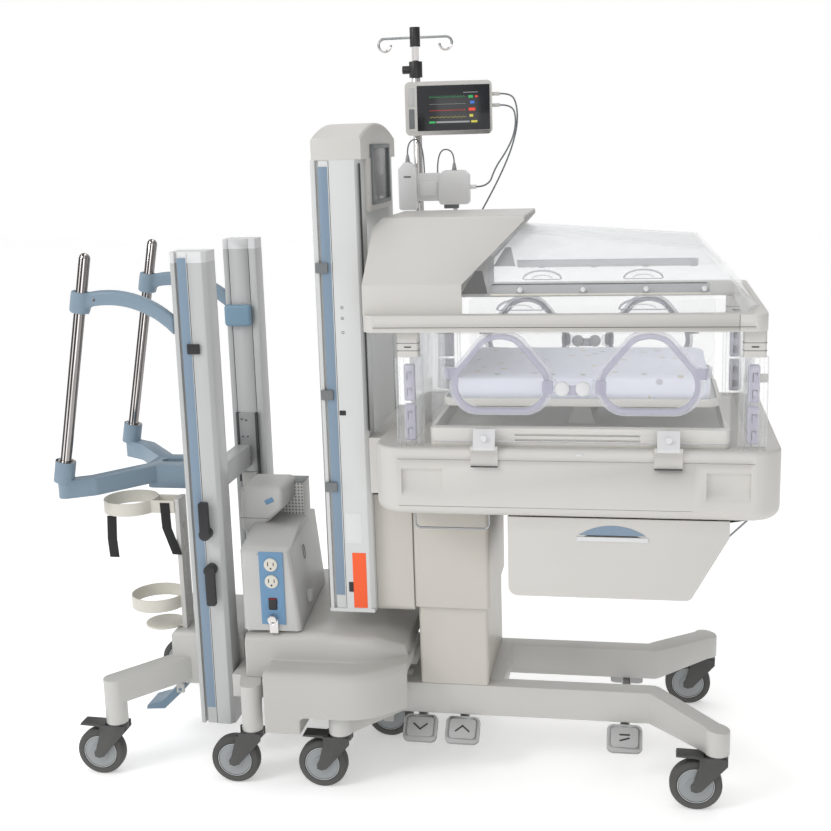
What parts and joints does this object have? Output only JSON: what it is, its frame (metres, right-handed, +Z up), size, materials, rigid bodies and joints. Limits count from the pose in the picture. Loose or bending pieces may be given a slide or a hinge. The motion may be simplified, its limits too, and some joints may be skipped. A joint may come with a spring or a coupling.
{
  "type": "infant incubator",
  "caption": "Infant incubator on a lifting column with tilting mattress, folding doors, portholes, drawer and pole, docked to a wheeled transport shuttle with battery box and push bars.",
  "frame": {"origin": "on the floor, under the middle of the whole part", "axes": "+X towards the foot end, away from the shuttle; +Y away from the near side; +Z up"},
  "size_m": [1.7911, 0.7494, 1.889],
  "materials": {
    "warm_white_plastic": "satin",
    "beige_enamel": "satin",
    "cast_frame_grey": "satin",
    "white_aluminium": "satin",
    "clear_acrylic": "polished",
    "mattress_fabric": "woven",
    "tray_plastic": "satin",
    "chrome": "polished",
    "steel_wire": "satin",
    "caster_fork": "satin",
    "caster_tyre": "matte",
    "brake_grey": "satin",
    "pedal_grey": "satin",
    "handle_blue": "satin",
    "cover_grey_white": "satin",
    "unit_white": "satin",
    "monitor_white": "satin",
    "lead_grey": "matte",
    "lever_black": "satin",
    "pedal_blue": "satin",
    "ring_white": "satin",
    "switch_black": "gloss"
  },
  "bodies": {
    "base": {"base_frame": "cast_frame_grey", "column_lower": "beige_enamel"},
    "bed": {"column_upper": "beige_enamel", "bed_shell": "warm_white_plastic", "bed_deck": "tray_plastic", "bed_uprights": "white_aluminium", "display_housing": "warm_white_plastic", "bed_fittings": "steel_wire", "end_walls": "clear_acrylic", "pole_lower": "chrome", "monitor": "monitor_white", "sensor_modules": "unit_white", "monitor_lead_upper": "lead_grey", "monitor_lead_lower": "lead_grey", "sensor_leads": "lead_grey"},
    "canopy": {"canopy_hood": "warm_white_plastic", "canopy_shell": "clear_acrylic"},
    "door_near": {"side_door_near": "clear_acrylic"},
    "door_far": {"side_door_far": "clear_acrylic"},
    "porthole_near_head": {"porthole_near_head": "clear_acrylic"},
    "porthole_near_foot": {"porthole_near_foot": "clear_acrylic"},
    "porthole_far_head": {"porthole_far_head": "clear_acrylic"},
    "porthole_far_foot": {"porthole_far_foot": "clear_acrylic"},
    "bed_tray": {"mattress_tray": "tray_plastic", "mattress": "mattress_fabric"},
    "drawer": {"drawer": "warm_white_plastic"},
    "pole_rod": {"pole_upper": "chrome"},
    "pedal_down": {"pedal_down": "pedal_grey"},
    "pedal_up": {"pedal_up": "pedal_grey"},
    "pedal_tilt": {"pedal_tilt": "pedal_grey"},
    "shuttle": {"shuttle_chassis": "cast_frame_grey", "shuttle_cover": "cover_grey_white", "shuttle_uprights": "white_aluminium", "battery_box": "unit_white", "push_handle": "handle_blue", "tank_holders": "ring_white"},
    "power_switch": {"power_switch": "switch_black"},
    "clamp_lever_upper": {"clamp_lever_upper": "lever_black"},
    "clamp_lever_lower": {"clamp_lever_lower": "lever_black"},
    "dock_pedal": {"dock_pedal": "pedal_blue"},
    "centre_wheel": {"centre_wheel": "caster_tyre"},
    "caster_foot_near": {"caster_fork_foot_near": "caster_fork"},
    "wheel_foot_near": {"caster_wheel_foot_near": "caster_tyre"},
    "caster_foot_far": {"caster_fork_foot_far": "caster_fork"},
    "wheel_foot_far": {"caster_wheel_foot_far": "caster_tyre"},
    "caster_head_near": {"caster_fork_head_near": "caster_fork"},
    "wheel_head_near": {"caster_wheel_head_near": "caster_tyre"},
    "caster_head_far": {"caster_fork_head_far": "caster_fork"},
    "wheel_head_far": {"caster_wheel_head_far": "caster_tyre"},
    "caster_shuttle_rear_near": {"caster_fork_shuttle_rear_near": "caster_fork"},
    "wheel_shuttle_rear_near": {"caster_wheel_shuttle_rear_near": "caster_tyre"},
    "caster_shuttle_rear_far": {"caster_fork_shuttle_rear_far": "caster_fork"},
    "wheel_shuttle_rear_far": {"caster_wheel_shuttle_rear_far": "caster_tyre"},
    "caster_shuttle_front_near": {"caster_fork_shuttle_front_near": "caster_fork"},
    "wheel_shuttle_front_near": {"caster_wheel_shuttle_front_near": "caster_tyre"},
    "caster_shuttle_front_far": {"caster_fork_shuttle_front_far": "caster_fork"},
    "wheel_shuttle_front_far": {"caster_wheel_shuttle_front_far": "caster_tyre"},
    "brake_foot_near": {"brake_lever_foot_near": "brake_grey"},
    "brake_head_near": {"brake_lever_head_near": "brake_grey"},
    "brake_shuttle_rear_near": {"brake_lever_shuttle_rear_near": "brake_grey"}
  },
  "joints": [
    {"name": "bed_lift", "type": "slide", "parent": "base", "child": "bed", "axis": [0, 0, 1], "range_m": [0, 0.24]},
    {"name": "canopy_lift", "type": "slide", "parent": "bed", "child": "canopy", "axis": [0, 0, 1], "range_m": [0, 0.2]},
    {"name": "door_near_fold", "type": "hinge", "parent": "bed", "child": "door_near", "pos_m": [0.44458, -0.36925, 0.896], "axis": [-1, 0, 0], "range_deg": [-150, 0]},
    {"name": "door_far_fold", "type": "hinge", "parent": "bed", "child": "door_far", "pos_m": [0.44458, 0.33275, 0.896], "axis": [1, 0, 0], "range_deg": [-150, 0]},
    {"name": "porthole_near_head_swing", "type": "hinge", "parent": "door_near", "child": "porthole_near_head", "pos_m": [0.15158, -0.35605, 1.067], "axis": [0, 0, -1], "range_deg": [0, 120]},
    {"name": "porthole_near_foot_swing", "type": "hinge", "parent": "door_near", "child": "porthole_near_foot", "pos_m": [0.72108, -0.35605, 1.067], "axis": [0, 0, 1], "range_deg": [0, 120]},
    {"name": "porthole_far_head_swing", "type": "hinge", "parent": "door_far", "child": "porthole_far_head", "pos_m": [0.15158, 0.31955, 1.067], "axis": [0, 0, 1], "range_deg": [0, 120]},
    {"name": "porthole_far_foot_swing", "type": "hinge", "parent": "door_far", "child": "porthole_far_foot", "pos_m": [0.72108, 0.31955, 1.067], "axis": [0, 0, -1], "range_deg": [0, 120]},
    {"name": "mattress_tilt", "type": "hinge", "parent": "bed", "child": "bed_tray", "pos_m": [0.44058, -0.01825, 0.96], "axis": [0, 1, 0], "range_deg": [-12, 12]},
    {"name": "drawer_slide", "type": "slide", "parent": "bed", "child": "drawer", "axis": [0, -1, 0], "range_m": [0, 0.3]},
    {"name": "pole_telescope", "type": "slide", "parent": "bed", "child": "pole_rod", "axis": [0, 0, 1], "range_m": [0, 0.3]},
    {"name": "pedal_down_press", "type": "slide", "parent": "base", "child": "pedal_down", "axis": [0, 0, -1], "range_m": [0, 0.006], "stiffness_N_per_m": 3000, "springref_m": -0.01},
    {"name": "pedal_up_press", "type": "slide", "parent": "base", "child": "pedal_up", "axis": [0, 0, -1], "range_m": [0, 0.006], "stiffness_N_per_m": 3000, "springref_m": -0.01},
    {"name": "pedal_tilt_press", "type": "slide", "parent": "base", "child": "pedal_tilt", "axis": [0, 0, -1], "range_m": [0, 0.006], "stiffness_N_per_m": 3000, "springref_m": -0.01},
    {"name": "shuttle_undock", "type": "slide", "parent": "base", "child": "shuttle", "axis": [-1, 0, 0], "range_m": [0, 0.6]},
    {"name": "power_switch_rock", "type": "hinge", "parent": "shuttle", "child": "power_switch", "pos_m": [-0.32142, -0.26525, 0.462], "axis": [-1, 0, 0], "range_deg": [0, 14]},
    {"name": "clamp_lever_upper_turn", "type": "hinge", "parent": "shuttle", "child": "clamp_lever_upper", "pos_m": [-0.48742, -0.26625, 0.64], "axis": [0, 1, 0], "range_deg": [-90, 0]},
    {"name": "clamp_lever_lower_turn", "type": "hinge", "parent": "shuttle", "child": "clamp_lever_lower", "pos_m": [-0.48142, -0.26625, 0.545], "axis": [0, 1, 0], "range_deg": [0, 90]},
    {"name": "dock_pedal_press", "type": "hinge", "parent": "shuttle", "child": "dock_pedal", "pos_m": [-0.62342, -0.11825, 0.172], "axis": [0, -1, 0], "range_deg": [0, 18], "stiffness_Nm_per_rad": 3, "springref_deg": -17.19},
    {"name": "centre_wheel_spin", "type": "hinge", "parent": "shuttle", "child": "centre_wheel", "pos_m": [-0.08342, -0.01825, 0.0625], "axis": [0, 1, 0], "continuous": true},
    {"name": "caster_foot_near_swivel", "type": "hinge", "parent": "base", "child": "caster_foot_near", "pos_m": [0.76858, -0.31325, 0.145], "axis": [0, 0, 1], "continuous": true},
    {"name": "wheel_foot_near_spin", "type": "hinge", "parent": "caster_foot_near", "child": "wheel_foot_near", "pos_m": [0.72058, -0.31325, 0.0625], "axis": [0, 1, 0], "continuous": true},
    {"name": "caster_foot_far_swivel", "type": "hinge", "parent": "base", "child": "caster_foot_far", "pos_m": [0.76858, 0.27675, 0.145], "axis": [0, 0, 1], "continuous": true},
    {"name": "wheel_foot_far_spin", "type": "hinge", "parent": "caster_foot_far", "child": "wheel_foot_far", "pos_m": [0.72058, 0.27675, 0.0625], "axis": [0, 1, 0], "continuous": true},
    {"name": "caster_head_near_swivel", "type": "hinge", "parent": "base", "child": "caster_head_near", "pos_m": [-0.14942, -0.31325, 0.145], "axis": [0, 0, 1], "continuous": true},
    {"name": "wheel_head_near_spin", "type": "hinge", "parent": "caster_head_near", "child": "wheel_head_near", "pos_m": [-0.19742, -0.31325, 0.0625], "axis": [0, 1, 0], "continuous": true},
    {"name": "caster_head_far_swivel", "type": "hinge", "parent": "base", "child": "caster_head_far", "pos_m": [-0.14942, 0.27675, 0.145], "axis": [0, 0, 1], "continuous": true},
    {"name": "wheel_head_far_spin", "type": "hinge", "parent": "caster_head_far", "child": "wheel_head_far", "pos_m": [-0.19742, 0.27675, 0.0625], "axis": [0, 1, 0], "continuous": true},
    {"name": "caster_shuttle_rear_near_swivel", "type": "hinge", "parent": "shuttle", "child": "caster_shuttle_rear_near", "pos_m": [-0.74142, -0.31825, 0.145], "axis": [0, 0, 1], "continuous": true},
    {"name": "wheel_shuttle_rear_near_spin", "type": "hinge", "parent": "caster_shuttle_rear_near", "child": "wheel_shuttle_rear_near", "pos_m": [-0.78942, -0.31825, 0.0625], "axis": [0, 1, 0], "continuous": true},
    {"name": "caster_shuttle_rear_far_swivel", "type": "hinge", "parent": "shuttle", "child": "caster_shuttle_rear_far", "pos_m": [-0.74142, 0.28175, 0.145], "axis": [0, 0, 1], "continuous": true},
    {"name": "wheel_shuttle_rear_far_spin", "type": "hinge", "parent": "caster_shuttle_rear_far", "child": "wheel_shuttle_rear_far", "pos_m": [-0.78942, 0.28175, 0.0625], "axis": [0, 1, 0], "continuous": true},
    {"name": "caster_shuttle_front_near_swivel", "type": "hinge", "parent": "shuttle", "child": "caster_shuttle_front_near", "pos_m": [-0.37742, -0.31825, 0.145], "axis": [0, 0, 1], "continuous": true},
    {"name": "wheel_shuttle_front_near_spin", "type": "hinge", "parent": "caster_shuttle_front_near", "child": "wheel_shuttle_front_near", "pos_m": [-0.42542, -0.31825, 0.0625], "axis": [0, 1, 0], "continuous": true},
    {"name": "caster_shuttle_front_far_swivel", "type": "hinge", "parent": "shuttle", "child": "caster_shuttle_front_far", "pos_m": [-0.37742, 0.28175, 0.145], "axis": [0, 0, 1], "continuous": true},
    {"name": "wheel_shuttle_front_far_spin", "type": "hinge", "parent": "caster_shuttle_front_far", "child": "wheel_shuttle_front_far", "pos_m": [-0.42542, 0.28175, 0.0625], "axis": [0, 1, 0], "continuous": true},
    {"name": "brake_foot_near_press", "type": "hinge", "parent": "caster_foot_near", "child": "brake_foot_near", "pos_m": [0.73358, -0.31325, 0.1357], "axis": [0, -1, 0], "range_deg": [0, 10]},
    {"name": "brake_head_near_press", "type": "hinge", "parent": "caster_head_near", "child": "brake_head_near", "pos_m": [-0.18442, -0.31325, 0.1357], "axis": [0, -1, 0], "range_deg": [0, 10]},
    {"name": "brake_shuttle_rear_near_press", "type": "hinge", "parent": "caster_shuttle_rear_near", "child": "brake_shuttle_rear_near", "pos_m": [-0.77642, -0.31825, 0.1357], "axis": [0, -1, 0], "range_deg": [0, 10]}
  ]
}
